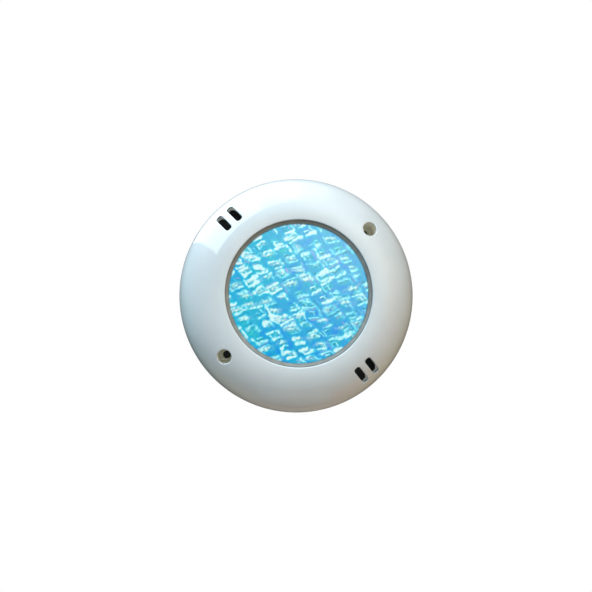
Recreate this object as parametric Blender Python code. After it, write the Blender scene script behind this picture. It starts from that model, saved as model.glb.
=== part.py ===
# Underwater pool light, wall mounted, 150 mm class.
# Frame: +Z up, the wall is the plane Y = 0, the light shines toward -Y and the
# lamp axis is the world Y axis.  Profiles are written as (r, h): radius from the
# lamp axis and height out from the wall, in millimetres.
import bpy, bmesh, math
from mathutils import Vector, Matrix

for ob in list(bpy.data.objects):
    bpy.data.objects.remove(ob, do_unlink=True)
for me in list(bpy.data.meshes):
    bpy.data.meshes.remove(me)

MM = 0.001

# ---------------------------------------------------------------- driving sizes
OUTER_D = 150.0        # face ring outside diameter
DEPTH = 30.0           # wall plane to the crest of the face ring
RIM_REAR_H = 0.5       # rear edge of the face ring off the wall
RIM_TOP_H = 3.5        # top of the thin upright outer edge
CREST_R = 47.0         # radius where the dome meets the flat crest
LIP_R = 44.2           # inner edge of the face ring
LIP_UNDER_H = 27.6     # underside of the lip
SHELL_T = 2.4          # face ring wall thickness
SLEEVE_R = 51.6        # guide sleeve inside the face ring, inner radius
SLEEVE_T = 1.6
SLEEVE_END_H = 15.0
RING_SEG = 64

BOSS_PCR = 58.5        # radius of the two screw bosses
BOSS_ANGS = (42.3, 220.3)  # degrees above +X
RIB_ANG = 86.3         # first of four ribs, and of the bracket's four fixing slots
BOSS_R = 6.2
BOSS_END_H = 5.3
CBORE_R = 4.35         # counterbore
CBORE_SEAT_H = 7.5     # screw head seat
THRU_R = 2.5           # screw clearance hole

SLOT_W = 4.3           # water slots, two side by side at each end of a diagonal
SLOT_L = 11.3
SLOT_PCR = 62.1        # centre of each slot from the lamp axis
SLOT_ANGS = (133.0, 311.5)  # degrees above +X of the two pairs
SLOT_OFF = 4.3         # half the distance between the two slots' centre lines

LENS_R = 42.1          # clear face of the lens
LENS_TOP_H = 28.4
LENS_CAP_T = 3.1
LENS_FLANGE_R = 45.5
LENS_SKIRT_R = 39.6    # inside of the lens cap

BODY_R = 47.2          # housing wall, outside
FLANGE_R = 51.2        # housing and clamp ring flange, outside
CAVITY_R = 40.0        # housing cavity
FLOOR_H0, FLOOR_H1 = 8.0, 10.2
FLANGE_TOP_H = 23.1
LEDGE_H = 22.3         # seat for the lens flange
BOARD_LEDGE_H = 19.6
SKIRT_R0, SKIRT_R1, SKIRT_H = 42.0, 44.2, 4.0
IN_SEG = 48

CLAMP_TOP_H = 27.2
CLAMP_SCREW_PCR = 48.5
CLAMP_SCREWS = 6
CLAMP_SCREW_ANG0 = 11.3

PLATE_R = 71.8         # wall bracket
PLATE_T = 2.2
PLATE_HOLE_R = 12.5    # opening round the cable gland
SPIGOT_R0, SPIGOT_R1, SPIGOT_H = 38.8, 41.6, 7.7
POST_R, POST_H, POST_PILOT_R = 4.6, 5.0, 1.7
FIX_SLOT_W, FIX_SLOT_L, FIX_SLOT_PCR = 4.6, 10.0, 52.0

LED_PITCH = 8.4        # square grid
LED_SIZE = 5.0
LED_TILT = 15.0        # degrees, grid turned about the lamp axis
LED_FIELD_R = 38.0

GLAND_Z = -21.0        # cable gland axis, below the lamp axis
CORD_BORE_R = 3.6      # free bore through the cable gland
GAP = 0.3              # free space kept between neighbouring pieces


# ---------------------------------------------------------------- materials
def material(name, rgb, rough, metal=0.0, transmission=0.0, ior=1.5):
    m = bpy.data.materials.new(name)
    m.use_nodes = True
    b = m.node_tree.nodes["Principled BSDF"]
    b.inputs["Base Color"].default_value = (rgb[0], rgb[1], rgb[2], 1.0)
    b.inputs["Roughness"].default_value = rough
    b.inputs["Metallic"].default_value = metal
    b.inputs["Transmission Weight"].default_value = transmission
    b.inputs["IOR"].default_value = ior
    return m


# ---------------------------------------------------------------- mesh helpers
def new_object(name, bm, mat, smooth_deg=35.0):
    bmesh.ops.remove_doubles(bm, verts=bm.verts[:], dist=1e-7)
    bmesh.ops.recalc_face_normals(bm, faces=bm.faces[:])
    me = bpy.data.meshes.new(name)
    bm.to_mesh(me)
    bm.free()
    ob = bpy.data.objects.new(name, me)
    bpy.context.scene.collection.objects.link(ob)
    if mat is not None:
        me.materials.append(mat)
    me.shade_smooth()
    me.set_sharp_from_angle(angle=math.radians(smooth_deg))
    return ob


def point(r, ang, h):
    return (r * math.cos(ang) * MM, -h * MM, r * math.sin(ang) * MM)


def lathe_bm(prof, seg, cx=0.0, cz=0.0, phase=0.0, bm=None):
    """Closed (r, h) outline turned about an axis parallel to Y through (cx, cz) mm."""
    own = bm is None
    if own:
        bm = bmesh.new()
    rings = []
    for r, h in prof:
        if not callable(r) and r < 1e-6:
            rings.append([bm.verts.new((cx * MM, -h * MM, cz * MM))])
        else:
            ring = []
            for k in range(seg):
                a = phase + 2.0 * math.pi * k / seg
                q = r(a) if callable(r) else r
                ring.append(bm.verts.new(((cx + q * math.cos(a)) * MM, -h * MM,
                                          (cz + q * math.sin(a)) * MM)))
            rings.append(ring)
    n = len(prof)
    for i in range(n):
        a, b = rings[i], rings[(i + 1) % n]
        if len(a) == 1 and len(b) == 1:
            continue
        for k in range(seg):
            j = (k + 1) % seg
            if len(a) == 1:
                bm.faces.new((a[0], b[k], b[j]))
            elif len(b) == 1:
                bm.faces.new((a[k], b[0], a[j]))
            else:
                bm.faces.new((a[k], b[k], b[j], a[j]))
    return bm


def lathe(name, prof, seg, mat, **kw):
    return new_object(name, lathe_bm(prof, seg, **kw), mat)


def prism_bm(poly, h0, h1, bm=None, h1_fn=None):
    """Straight prism along the lamp axis from an outline of (x, z) points in mm."""
    if bm is None:
        bm = bmesh.new()
    lo = [bm.verts.new((x * MM, -h0 * MM, z * MM)) for x, z in poly]
    hi = [bm.verts.new((x * MM, -(h1 if h1_fn is None else h1_fn(x, z)) * MM, z * MM))
          for x, z in poly]
    n = len(poly)
    bm.faces.new(lo)
    if h1_fn is None:
        bm.faces.new(list(reversed(hi)))
    else:
        cx = sum(p[0] for p in poly) / n
        cz = sum(p[1] for p in poly) / n
        c = bm.verts.new((cx * MM, -h1_fn(cx, cz) * MM, cz * MM))
        for k in range(n):
            bm.faces.new((hi[k], hi[(k + 1) % n], c))
    for k in range(n):
        j = (k + 1) % n
        bm.faces.new((lo[k], lo[j], hi[j], hi[k]))
    return bm


def obround(cx, cz, length, width, ang, arc=6):
    """Outline of a slot with round ends, its long side along ang (radians)."""
    r = width / 2.0
    half = length / 2.0 - r
    pts = []
    for end, start in ((1.0, -math.pi / 2.0), (-1.0, math.pi / 2.0)):
        for i in range(arc + 1):
            t = start + math.pi * i / arc
            x = end * half + r * math.cos(t)
            y = r * math.sin(t)
            pts.append((cx + x * math.cos(ang) - y * math.sin(ang),
                        cz + x * math.sin(ang) + y * math.cos(ang)))
    return pts


def rounded_slot(cx, cz, length, width, corner, ang, arc=3):
    """Outline of a slot whose corners have a given radius."""
    pts = []
    hx, hy = length / 2.0 - corner, width / 2.0 - corner
    for sx, sy, start in ((1, -1, -math.pi / 2), (1, 1, 0.0), (-1, 1, math.pi / 2),
                          (-1, -1, math.pi)):
        for i in range(arc + 1):
            t = start + (math.pi / 2) * i / arc
            x = sx * hx + corner * math.cos(t)
            y = sy * hy + corner * math.sin(t)
            pts.append((cx + x * math.cos(ang) - y * math.sin(ang),
                        cz + x * math.sin(ang) + y * math.cos(ang)))
    return pts


def circle(cx, cz, r, seg, phase=0.0):
    return [(cx + r * math.cos(phase + 2 * math.pi * k / seg),
             cz + r * math.sin(phase + 2 * math.pi * k / seg)) for k in range(seg)]


def hex_radius(af):
    """Radius of a hexagon of width af across its flats, as a function of the angle."""
    return lambda a: af / 2.0 / math.cos(((a + math.pi / 6) % (math.pi / 3)) - math.pi / 6)


def boolean(ob, cutter, op):
    """Union, difference or intersection baked into ob's mesh; the cutter is removed."""
    mod = ob.modifiers.new("cut", "BOOLEAN")
    mod.operation = op
    mod.solver = "EXACT"
    mod.object = cutter
    dg = bpy.context.evaluated_depsgraph_get()
    me = bpy.data.meshes.new_from_object(ob.evaluated_get(dg))
    ob.modifiers.clear()
    old = ob.data
    mats = [m for m in old.materials]
    ob.data = me
    me.name = ob.name
    me.materials.clear()
    for m in mats:
        me.materials.append(m)
    for p in me.polygons:
        p.material_index = 0
    bpy.data.meshes.remove(old)
    cm = cutter.data
    bpy.data.objects.remove(cutter, do_unlink=True)
    bpy.data.meshes.remove(cm)
    me.shade_smooth()
    me.set_sharp_from_angle(angle=math.radians(35.0))


def chamfer_box(name, cx, cz, sx, sz, h0, h1, mat, c=0.3):
    """Block standing on height h0 with chamfered upper edges."""
    bm = bmesh.new()
    levels = [(0.0, h0), (0.0, h1 - c), (c, h1)]
    rings = []
    for inset, h in levels:
        x, z = sx / 2 - inset, sz / 2 - inset
        rings.append([bm.verts.new(((cx + px) * MM, -h * MM, (cz + pz) * MM))
                      for px, pz in ((-x, -z), (x, -z), (x, z), (-x, z))])
    bm.faces.new(rings[0])
    bm.faces.new(rings[-1])
    for a, b in zip(rings, rings[1:]):
        for k in range(4):
            j = (k + 1) % 4
            bm.faces.new((a[k], a[j], b[j], b[k]))
    return new_object(name, bm, mat)


def tube(name, path, radius, mat, sides=8):
    """Round wire along a path of (x, h, z) points in mm, closed at both ends."""
    pts = [Vector((x * MM, -h * MM, z * MM)) for x, h, z in path]
    bm = bmesh.new()
    rings = []
    ref = Vector((1.0, 0.0, 0.0))
    for i, p in enumerate(pts):
        a = pts[max(i - 1, 0)]
        b = pts[min(i + 1, len(pts) - 1)]
        t = (b - a).normalized()
        u = (ref - t * ref.dot(t)).normalized()
        v = t.cross(u)
        rings.append([bm.verts.new(p + (u * math.cos(2 * math.pi * k / sides)
                                        + v * math.sin(2 * math.pi * k / sides)) * radius * MM)
                      for k in range(sides)])
    bm.faces.new(rings[0])
    bm.faces.new(rings[-1])
    for a, b in zip(rings, rings[1:]):
        for k in range(sides):
            j = (k + 1) % sides
            bm.faces.new((a[k], a[j], b[j], b[k]))
    return new_object(name, bm, mat)


def bezier_path(p0, p1, p2, p3, n):
    out = []
    for i in range(n + 1):
        t = i / n
        s = 1 - t
        out.append(tuple(s ** 3 * a + 3 * s * s * t * b + 3 * s * t * t * c + t ** 3 * d
                         for a, b, c, d in zip(p0, p1, p2, p3)))
    return out


# ---------------------------------------------------------------- materials used
m_white = material("white_abs", (0.86, 0.88, 0.88), 0.22)
m_gasket = material("grey_silicone", (0.22, 0.21, 0.19), 0.55)
m_lens = material("clear_polycarbonate", (0.80, 0.95, 1.0), 0.05, 0.0, 0.9, 1.58)
m_prism = material("prism_acrylic", (0.10, 0.62, 0.80), 0.20)
m_clamp = material("clamp_nylon", (0.62, 0.64, 0.66), 0.40)
m_steel = material("stainless_screw", (0.62, 0.62, 0.60), 0.28, 1.0)
m_alu = material("board_aluminium", (0.72, 0.73, 0.74), 0.38, 1.0)
m_led = material("led_white_mask", (0.86, 0.88, 0.84), 0.35)
m_pad = material("thermal_silicone", (0.35, 0.42, 0.50), 0.70)
m_fr4 = material("driver_green", (0.05, 0.22, 0.10), 0.45)
m_black = material("component_black", (0.03, 0.03, 0.03), 0.45)
m_cap = material("capacitor_can", (0.70, 0.71, 0.72), 0.30, 1.0)
m_ferrite = material("inductor_ferrite", (0.10, 0.10, 0.11), 0.60)
m_body = material("housing_abs", (0.74, 0.76, 0.76), 0.30)
m_oring = material("oring_nitrile", (0.04, 0.04, 0.045), 0.60)
m_red = material("lead_red", (0.62, 0.05, 0.04), 0.45)
m_blk = material("lead_black", (0.04, 0.04, 0.04), 0.45)
m_gland = material("gland_nylon", (0.10, 0.10, 0.11), 0.42)
m_brkt = material("bracket_abs", (0.035, 0.037, 0.04), 0.45)


# ---------------------------------------------------------------- face ring
R_OUT = OUTER_D / 2.0
DOME_A = R_OUT - CREST_R
DOME_B = DEPTH - RIM_TOP_H


def dome_h(r):
    """Height of the outer dome surface at radius r."""
    if r <= CREST_R:
        return DEPTH
    x = min((r - CREST_R) / DOME_A, 1.0)
    return RIM_TOP_H + DOME_B * math.sqrt(max(1.0 - x * x, 0.0))


def face_ring_profile(n_out=11, n_in=8):
    p = [(R_OUT - 0.4, RIM_REAR_H), (R_OUT, RIM_REAR_H + 0.4), (R_OUT, RIM_TOP_H)]
    for i in range(1, n_out + 1):
        a = (math.pi / 2) * i / n_out
        p.append((CREST_R + DOME_A * math.cos(a), RIM_TOP_H + DOME_B * math.sin(a)))
    p += [(LIP_R + 0.9, DEPTH), (LIP_R + 0.3, DEPTH - 0.25), (LIP_R, DEPTH - 0.8),
          (LIP_R, LIP_UNDER_H + 0.3), (LIP_R + 0.3, LIP_UNDER_H),
          (SLEEVE_R, LIP_UNDER_H), (SLEEVE_R, SLEEVE_END_H),
          (SLEEVE_R + SLEEVE_T, SLEEVE_END_H)]
    a_in, b_in = DOME_A - SHELL_T, DOME_B - SHELL_T
    a0 = math.acos((SLEEVE_R + SLEEVE_T - CREST_R) / a_in)
    for i in range(n_in + 1):
        a = a0 * (1.0 - i / n_in)
        p.append((CREST_R + a_in * math.cos(a), RIM_TOP_H + b_in * math.sin(a)))
    p += [(R_OUT - SHELL_T, RIM_REAR_H)]
    return p


face_ring = lathe("face_ring", face_ring_profile(), RING_SEG, m_white)

for ang in map(math.radians, BOSS_ANGS):
    bx, bz = BOSS_PCR * math.cos(ang), BOSS_PCR * math.sin(ang)
    boss = new_object("tool_boss", prism_bm(circle(bx, bz, BOSS_R, 20, ang), BOSS_END_H, 0.0,
                                            h1_fn=lambda x, z: dome_h(math.hypot(x, z)) - 1.2),
                      None)
    boolean(face_ring, boss, "UNION")

# four thin ribs tie the guide sleeve to the shell
for k in range(4):
    ang = math.radians(RIB_ANG + 90.0 * k)
    u = Vector((math.cos(ang), 0.0, math.sin(ang)))
    w = Vector((-math.sin(ang), 0.0, math.cos(ang)))
    r0, r1, nn = SLEEVE_R + 0.8, R_OUT - SHELL_T + 0.9, 8
    outline = [(r0, 17.0), (r1 - 6.0, 6.0), (r1, 4.0)]
    for i in range(nn + 1):
        r = r1 + (r0 - r1) * i / nn
        outline.append((r, max(dome_h(r) - 1.2, 4.6)))
    bm = bmesh.new()
    sides = []
    for s in (-0.8, 0.8):
        sides.append([bm.verts.new((u * r + w * s) * MM + Vector((0, -h * MM, 0)))
                      for r, h in outline])
    bm.faces.new(sides[0])
    bm.faces.new(list(reversed(sides[1])))
    for i in range(len(outline)):
        j = (i + 1) % len(outline)
        bm.faces.new((sides[0][i], sides[1][i], sides[1][j], sides[0][j]))
    boolean(face_ring, new_object("tool_rib", bm, None), "UNION")

for ang in map(math.radians, BOSS_ANGS):
    bx, bz = BOSS_PCR * math.cos(ang), BOSS_PCR * math.sin(ang)
    cut = lathe("tool_bore", [(0, 0.0), (THRU_R, 0.0), (THRU_R, CBORE_SEAT_H),
                              (CBORE_R, CBORE_SEAT_H), (CBORE_R, 40.0), (0, 40.0)],
                20, None, cx=bx, cz=bz, phase=ang)
    boolean(face_ring, cut, "DIFFERENCE")

for ang in map(math.radians, SLOT_ANGS):
    for off in (-SLOT_OFF, SLOT_OFF):
        sx = SLOT_PCR * math.cos(ang) - off * math.sin(ang)
        sz = SLOT_PCR * math.sin(ang) + off * math.cos(ang)
        cut = new_object("tool_slot", prism_bm(rounded_slot(sx, sz, SLOT_L, SLOT_W, 1.6, ang),
                                               6.0, 40.0), None)
        boolean(face_ring, cut, "DIFFERENCE")


# ---------------------------------------------------------------- lens and its seals
lens = lathe("lens", [(0, LENS_TOP_H), (LENS_R - 0.4, LENS_TOP_H), (LENS_R, LENS_TOP_H - 0.4),
                      (LENS_R, 24.4), (LENS_FLANGE_R, 24.4), (LENS_FLANGE_R, LEDGE_H + GAP),
                      (LENS_SKIRT_R, LEDGE_H + GAP), (LENS_SKIRT_R, LENS_TOP_H - LENS_CAP_T),
                      (0, LENS_TOP_H - LENS_CAP_T)], IN_SEG, m_lens)

gasket = lathe("lens_gasket", [(LENS_R + GAP, 28.3), (LENS_R + GAP + 0.3, 28.6),
                               (LIP_R - 0.6, 28.6), (LIP_R - 0.3, 28.3), (LIP_R - 0.3, 26.0),
                               (LENS_FLANGE_R, 26.0), (LENS_FLANGE_R, 24.7),
                               (LENS_R + GAP, 24.7)], IN_SEG, m_gasket)

clamp = lathe("clamp_ring", [(LIP_R + 0.1, 26.3), (LIP_R + 0.1, CLAMP_TOP_H),
                             (FLANGE_R - 0.3, CLAMP_TOP_H), (FLANGE_R, CLAMP_TOP_H - 0.3),
                             (FLANGE_R, FLANGE_TOP_H + GAP), (45.9, FLANGE_TOP_H + GAP),
                             (45.9, 26.3)], IN_SEG, m_clamp)

prism = lathe("prism_sheet", [(0, 25.0), (39.2, 25.0), (39.2, 24.0), (0, 24.0)], IN_SEG, m_prism)

oring = lathe("housing_oring",
              [(44.3 + 0.55 * math.cos(2 * math.pi * k / 6 + math.pi / 6),
                21.72 + 0.50 * math.sin(2 * math.pi * k / 6 + math.pi / 6)) for k in range(6)],
              IN_SEG, m_oring)

# ---------------------------------------------------------------- housing
housing = lathe("housing", [
    (0, FLOOR_H1), (CAVITY_R, FLOOR_H1), (CAVITY_R, BOARD_LEDGE_H), (42.0, BOARD_LEDGE_H),
    (42.0, LEDGE_H), (43.6, LEDGE_H), (43.6, 21.1), (45.0, 21.1), (45.0, LEDGE_H),
    (45.9, LEDGE_H), (45.9, FLANGE_TOP_H), (FLANGE_R, FLANGE_TOP_H), (FLANGE_R, 18.2),
    (BODY_R, 16.6), (BODY_R, FLOOR_H0 + 0.8), (BODY_R - 0.8, FLOOR_H0), (SKIRT_R1, FLOOR_H0),
    (SKIRT_R1, SKIRT_H), (SKIRT_R0, SKIRT_H), (SKIRT_R0, FLOOR_H0), (0, FLOOR_H0)],
    IN_SEG, m_body)

boolean(housing, new_object("tool_inlet", prism_bm(circle(0.0, GLAND_Z, 6.4, 24, 0.07), 6.0, 12.0), None),
        "DIFFERENCE")

DRV_X, DRV_Z0, DRV_Z1 = 22.0, 6.0, 33.0
for px in (-DRV_X + 2.6, DRV_X - 2.6):
    for pz in (DRV_Z0 + 2.6, DRV_Z1 - 2.6):
        boolean(housing, new_object("tool_post", prism_bm(circle(px, pz, 2.0, 10),
                                                          FLOOR_H1 - 1.0, 11.3), None), "UNION")

for k in range(CLAMP_SCREWS):
    ang = math.radians(CLAMP_SCREW_ANG0 + 360.0 * k / CLAMP_SCREWS)
    sx, sz = CLAMP_SCREW_PCR * math.cos(ang), CLAMP_SCREW_PCR * math.sin(ang)
    boolean(housing, lathe("tool_pilot", [(0, 19.0), (1.3, 19.0), (1.3, 30.0), (0, 30.0)],
                           10, None, cx=sx, cz=sz), "DIFFERENCE")
    boolean(clamp, lathe("tool_cbore", [(0, 20.0), (1.3, 20.0), (1.3, 25.4), (2.1, 25.4),
                                        (2.1, 30.0), (0, 30.0)],
                         12, None, cx=sx, cz=sz), "DIFFERENCE")
    lathe("clamp_screw_%d" % (k + 1),
          [(0, 27.0), (1.1, 26.95), (1.6, 26.6), (1.8, 26.1), (1.8, 25.7), (1.0, 25.7),
           (1.0, 20.0), (0.5, 19.4), (0, 19.4)], 12, m_steel, cx=sx, cz=sz)

# ---------------------------------------------------------------- light engine
led_board = lathe("led_board", [(0, 21.5), (41.6, 21.5), (41.6, 19.9), (0, 19.9)],
                  IN_SEG, m_alu)

led_array = lathe("led_array", [(0, 22.2), (39.0, 22.2), (39.0, 21.8), (0, 21.8)],
                  IN_SEG, m_led)
bm = bmesh.new()
ta = math.radians(LED_TILT)
half = LED_SIZE / 2.0
reach = int(LED_FIELD_R // LED_PITCH) + 1
for i in range(-reach, reach + 1):
    for j in range(-reach, reach + 1):
        gx, gz = i * LED_PITCH, j * LED_PITCH
        cx = gx * math.cos(ta) - gz * math.sin(ta)
        cz = gx * math.sin(ta) + gz * math.cos(ta)
        if math.hypot(cx, cz) + half * 1.42 > LED_FIELD_R:
            continue
        quad = [(cx + x * math.cos(ta) - z * math.sin(ta), cz + x * math.sin(ta) + z * math.cos(ta))
                for x, z in ((-half, -half), (half, -half), (half, half), (-half, half))]
        prism_bm(quad, 22.0, 23.6, bm=bm)
boolean(led_array, new_object("tool_leds", bm, None), "UNION")

pad = lathe("thermal_pad", [(0, 19.6), (39.5, 19.6), (39.5, 18.4), (0, 18.4)], 40, m_pad)
LEAD_Z, LEAD_X = 29.0, 15.0
boolean(pad, new_object("tool_padslot", prism_bm(obround(LEAD_X, LEAD_Z, 6.6, 3.0, 0.0, 4),
                                                 17.0, 21.0), None), "DIFFERENCE")

driver_board = chamfer_box("driver_board", 0.0, (DRV_Z0 + DRV_Z1) / 2, 2 * DRV_X,
                           DRV_Z1 - DRV_Z0, 11.6, 13.2, m_fr4, 0.2)
chamfer_box("bridge_rectifier", -15.0, 26.0, 4.8, 4.2, 13.5, 16.1, m_black)
chamfer_box("driver_ic", 1.0, 15.0, 5.0, 4.0, 13.5, 15.0, m_black, 0.2)
chamfer_box("power_inductor", 1.0, 26.0, 7.0, 7.0, 13.5, 17.5, m_ferrite, 0.6)
lathe("smoothing_capacitor", [(0, 18.0), (2.8, 18.0), (3.15, 17.7), (3.15, 14.5), (3.0, 14.3),
                              (3.15, 14.1), (3.15, 13.5), (0, 13.5)], 20, m_cap,
      cx=-13.5, cz=14.5)
for nm, dx, mt in (("led_lead_plus", -1.6, m_red), ("led_lead_minus", 1.6, m_blk)):
    tube(nm, bezier_path((LEAD_X + dx, 13.5, LEAD_Z - 6.0), (LEAD_X + dx, 17.4, LEAD_Z - 6.0),
                         (LEAD_X + dx, 15.2, LEAD_Z), (LEAD_X + dx, 19.6, LEAD_Z), 8),
         0.6, mt)

# ---------------------------------------------------------------- cable gland
def gland_lathe(name, prof, mat):
    return lathe(name, prof, 24, mat, cx=0.0, cz=GLAND_Z)


gland_lathe("gland_body", [
    (CORD_BORE_R, 5.3), (CORD_BORE_R, 14.0), (5.8, 14.0), (6.1, 13.7), (6.1, 7.4), (6.6, 7.4),
    (6.6, 6.6), (8.4, 6.6), (8.4, 7.4), (hex_radius(19.0), 7.4), (hex_radius(19.0), 5.4),
    (5.6, 5.4), (5.6, 2.3), (5.3, 2.0), (4.9, 2.0), (4.9, 5.3)], m_gland)
gland_lathe("gland_oring", [(7.5 + 0.55 * math.cos(2 * math.pi * k / 6 + math.pi / 6),
                             7.3 + 0.40 * math.sin(2 * math.pi * k / 6 + math.pi / 6))
                            for k in range(6)], m_oring)
gland_lathe("gland_lock_nut", [(6.4, 10.5), (6.4, 12.7), (hex_radius(17.0), 12.7),
                               (hex_radius(17.0), 10.5)], m_gland)
gland_lathe("gland_seal", [(3.5, 1.9), (3.5, 5.0), (4.6, 5.0), (4.6, 1.9)], m_oring)
dome_nut = gland_lathe("gland_nut", [(CORD_BORE_R, 0.8), (CORD_BORE_R, 1.6), (5.9, 1.6),
                                     (5.9, 5.1), (hex_radius(15.2), 5.1),
                                     (hex_radius(15.2), 2.4), (6.8, 0.8)], m_gland)
# the dome nut turns on the gland, so its origin sits on the gland's axis
dome_nut.data.transform(Matrix.Translation((0.0, 0.0, -GLAND_Z * MM)))
dome_nut.location = (0.0, 0.0, GLAND_Z * MM)

# ---------------------------------------------------------------- wall bracket
bracket = lathe("wall_bracket", [
    (0, 0.0), (0, PLATE_T), (SPIGOT_R0, PLATE_T),
    (SPIGOT_R0, SPIGOT_H), (SPIGOT_R1 - 0.5, SPIGOT_H), (SPIGOT_R1, SPIGOT_H - 0.5),
    (SPIGOT_R1, PLATE_T), (PLATE_R - 0.4, PLATE_T), (PLATE_R, PLATE_T - 0.4), (PLATE_R, 0.0)],
    IN_SEG, m_brkt)
boolean(bracket, new_object("tool_opening", prism_bm(circle(0.0, GLAND_Z, PLATE_HOLE_R, 32, 0.05),
                                                    -2.0, 6.0), None), "DIFFERENCE")
for ang in map(math.radians, BOSS_ANGS):
    bx, bz = BOSS_PCR * math.cos(ang), BOSS_PCR * math.sin(ang)
    boolean(bracket, new_object("tool_post", prism_bm(circle(bx, bz, POST_R, 16, ang), 0.6,
                                                      POST_H), None), "UNION")
    boolean(bracket, new_object("tool_pilot", prism_bm(circle(bx, bz, POST_PILOT_R, 12), 0.8,
                                                       9.0), None), "DIFFERENCE")
for k in range(4):
    ang = math.radians(RIB_ANG + 90.0 * k)
    cx, cz = FIX_SLOT_PCR * math.cos(ang), FIX_SLOT_PCR * math.sin(ang)
    boolean(bracket, new_object("tool_fix", prism_bm(obround(cx, cz, FIX_SLOT_L, FIX_SLOT_W,
                                                             ang + math.pi / 2, 5), -2.0, 6.0),
                                None), "DIFFERENCE")
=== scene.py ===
import math
import random

import bpy
import bmesh
import numpy as np
from mathutils import Matrix, Vector
from mathutils.geometry import delaunay_2d_cdt


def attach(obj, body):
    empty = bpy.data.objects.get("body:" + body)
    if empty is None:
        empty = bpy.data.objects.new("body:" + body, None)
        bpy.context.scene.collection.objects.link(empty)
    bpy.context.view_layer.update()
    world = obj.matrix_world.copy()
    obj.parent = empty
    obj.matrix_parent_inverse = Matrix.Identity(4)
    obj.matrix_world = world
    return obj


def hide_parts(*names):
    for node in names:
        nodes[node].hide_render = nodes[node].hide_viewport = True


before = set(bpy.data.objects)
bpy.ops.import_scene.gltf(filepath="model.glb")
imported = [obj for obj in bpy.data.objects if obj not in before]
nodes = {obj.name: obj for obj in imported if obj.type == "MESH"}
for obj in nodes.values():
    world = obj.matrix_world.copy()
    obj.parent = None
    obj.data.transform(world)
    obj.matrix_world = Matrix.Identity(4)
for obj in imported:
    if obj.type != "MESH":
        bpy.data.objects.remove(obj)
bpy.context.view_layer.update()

MM = 0.001
scene = bpy.context.scene

# ------------------------------------------------------------------ sizes shared with the solids
R_OUT, DEPTH = 75.0, 30.0
RIM_H0, RIM_H1 = 0.5, 3.5
CREST_R, LIP_R, LIP_UNDER = 47.0, 44.2, 27.6
SHELL_T = 2.4
SLEEVE_R, SLEEVE_T, SLEEVE_H = 51.6, 1.6, 15.0
BOSS_PCR, BOSS_R, BOSS_H = 58.5, 6.2, 5.3
BOSS_ANGS = (42.3, 220.3)
RIB_ANG = 86.3
CBORE_R, SEAT_H, THRU_R = 4.35, 7.5, 2.5
SLOT_W, SLOT_L, SLOT_PCR, SLOT_OFF, SLOT_C = 4.3, 11.3, 62.1, 4.3, 1.6
SLOT_ANGS = (133.0, 311.5)
GLAND_Z = -21.0
DOME_A, DOME_B = R_OUT - CREST_R, DEPTH - RIM_H1
PAT_BASE, PAT_GLOW = (8, 168, 226), 0.93


# ------------------------------------------------------------------ node helpers
class Mat:
    """A Principled material with a few procedural layers."""

    def __init__(self, name, color, rough=0.4, metal=0.0):
        self.m = bpy.data.materials.new(name)
        self.m.use_nodes = True
        self.nt = self.m.node_tree
        self.p = self.nt.nodes["Principled BSDF"]
        self.p.inputs["Base Color"].default_value = (*color, 1.0)
        self.p.inputs["Roughness"].default_value = rough
        self.p.inputs["Metallic"].default_value = metal
        self.color, self.rough = color, rough
        self.coord = None

    def new(self, kind, **sets):
        n = self.nt.nodes.new(kind)
        for k, v in sets.items():
            setattr(n, k, v)
        return n

    def link(self, a, b):
        self.nt.links.new(a, b)

    def position(self):
        if self.coord is None:
            self.coord = self.new("ShaderNodeTexCoord").outputs["Object"]
        return self.coord

    def noise(self, scale, detail=4.0, rough=0.55, distortion=0.0, stretch=None):
        n = self.new("ShaderNodeTexNoise")
        n.inputs["Scale"].default_value = scale
        n.inputs["Detail"].default_value = detail
        n.inputs["Roughness"].default_value = rough
        n.inputs["Distortion"].default_value = distortion
        src = self.position()
        if stretch:
            mp = self.new("ShaderNodeMapping")
            mp.inputs["Scale"].default_value = stretch
            self.link(src, mp.inputs["Vector"])
            src = mp.outputs["Vector"]
        self.link(src, n.inputs["Vector"])
        return n.outputs["Fac"]

    def remap(self, fac, lo, hi, a=0.0, b=1.0):
        n = self.new("ShaderNodeMapRange")
        n.inputs["From Min"].default_value = a
        n.inputs["From Max"].default_value = b
        n.inputs["To Min"].default_value = lo
        n.inputs["To Max"].default_value = hi
        self.link(fac, n.inputs["Value"])
        return n.outputs["Result"]

    def ramp(self, fac, stops):
        n = self.new("ShaderNodeValToRGB")
        cr = n.color_ramp
        while len(cr.elements) < len(stops):
            cr.elements.new(0.5)
        for e, (pos, col) in zip(cr.elements, stops):
            e.position = pos
            e.color = (*col, 1.0)
        self.link(fac, n.inputs["Fac"])
        return n.outputs["Color"]

    def vary_color(self, scale, amount, tint=(1.0, 1.0, 1.0), detail=3.0):
        f = self.noise(scale, detail)
        c = self.color
        dark = tuple(max(c[i] * (1 - amount) * tint[i], 0.0) for i in range(3))
        lite = tuple(min(c[i] * (1 + amount * 0.5), 1.0) for i in range(3))
        self.link(self.ramp(f, [(0.30, dark), (0.72, lite)]), self.p.inputs["Base Color"])
        return self

    def vary_rough(self, scale, lo, hi, detail=5.0, stretch=None):
        f = self.noise(scale, detail, stretch=stretch)
        self.link(self.remap(f, lo, hi, 0.3, 0.7), self.p.inputs["Roughness"])
        return self

    def bump(self, scale, strength, distance=0.0001, detail=4.0, stretch=None, fac=None):
        f = fac if fac is not None else self.noise(scale, detail, stretch=stretch)
        b = self.new("ShaderNodeBump")
        b.inputs["Strength"].default_value = strength
        b.inputs["Distance"].default_value = distance
        self.link(f, b.inputs["Height"])
        self.link(b.outputs["Normal"], self.p.inputs["Normal"])
        return self

    def set(self, **kw):
        for k, v in kw.items():
            self.p.inputs[k.replace("_", " ")].default_value = v
        return self


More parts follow.
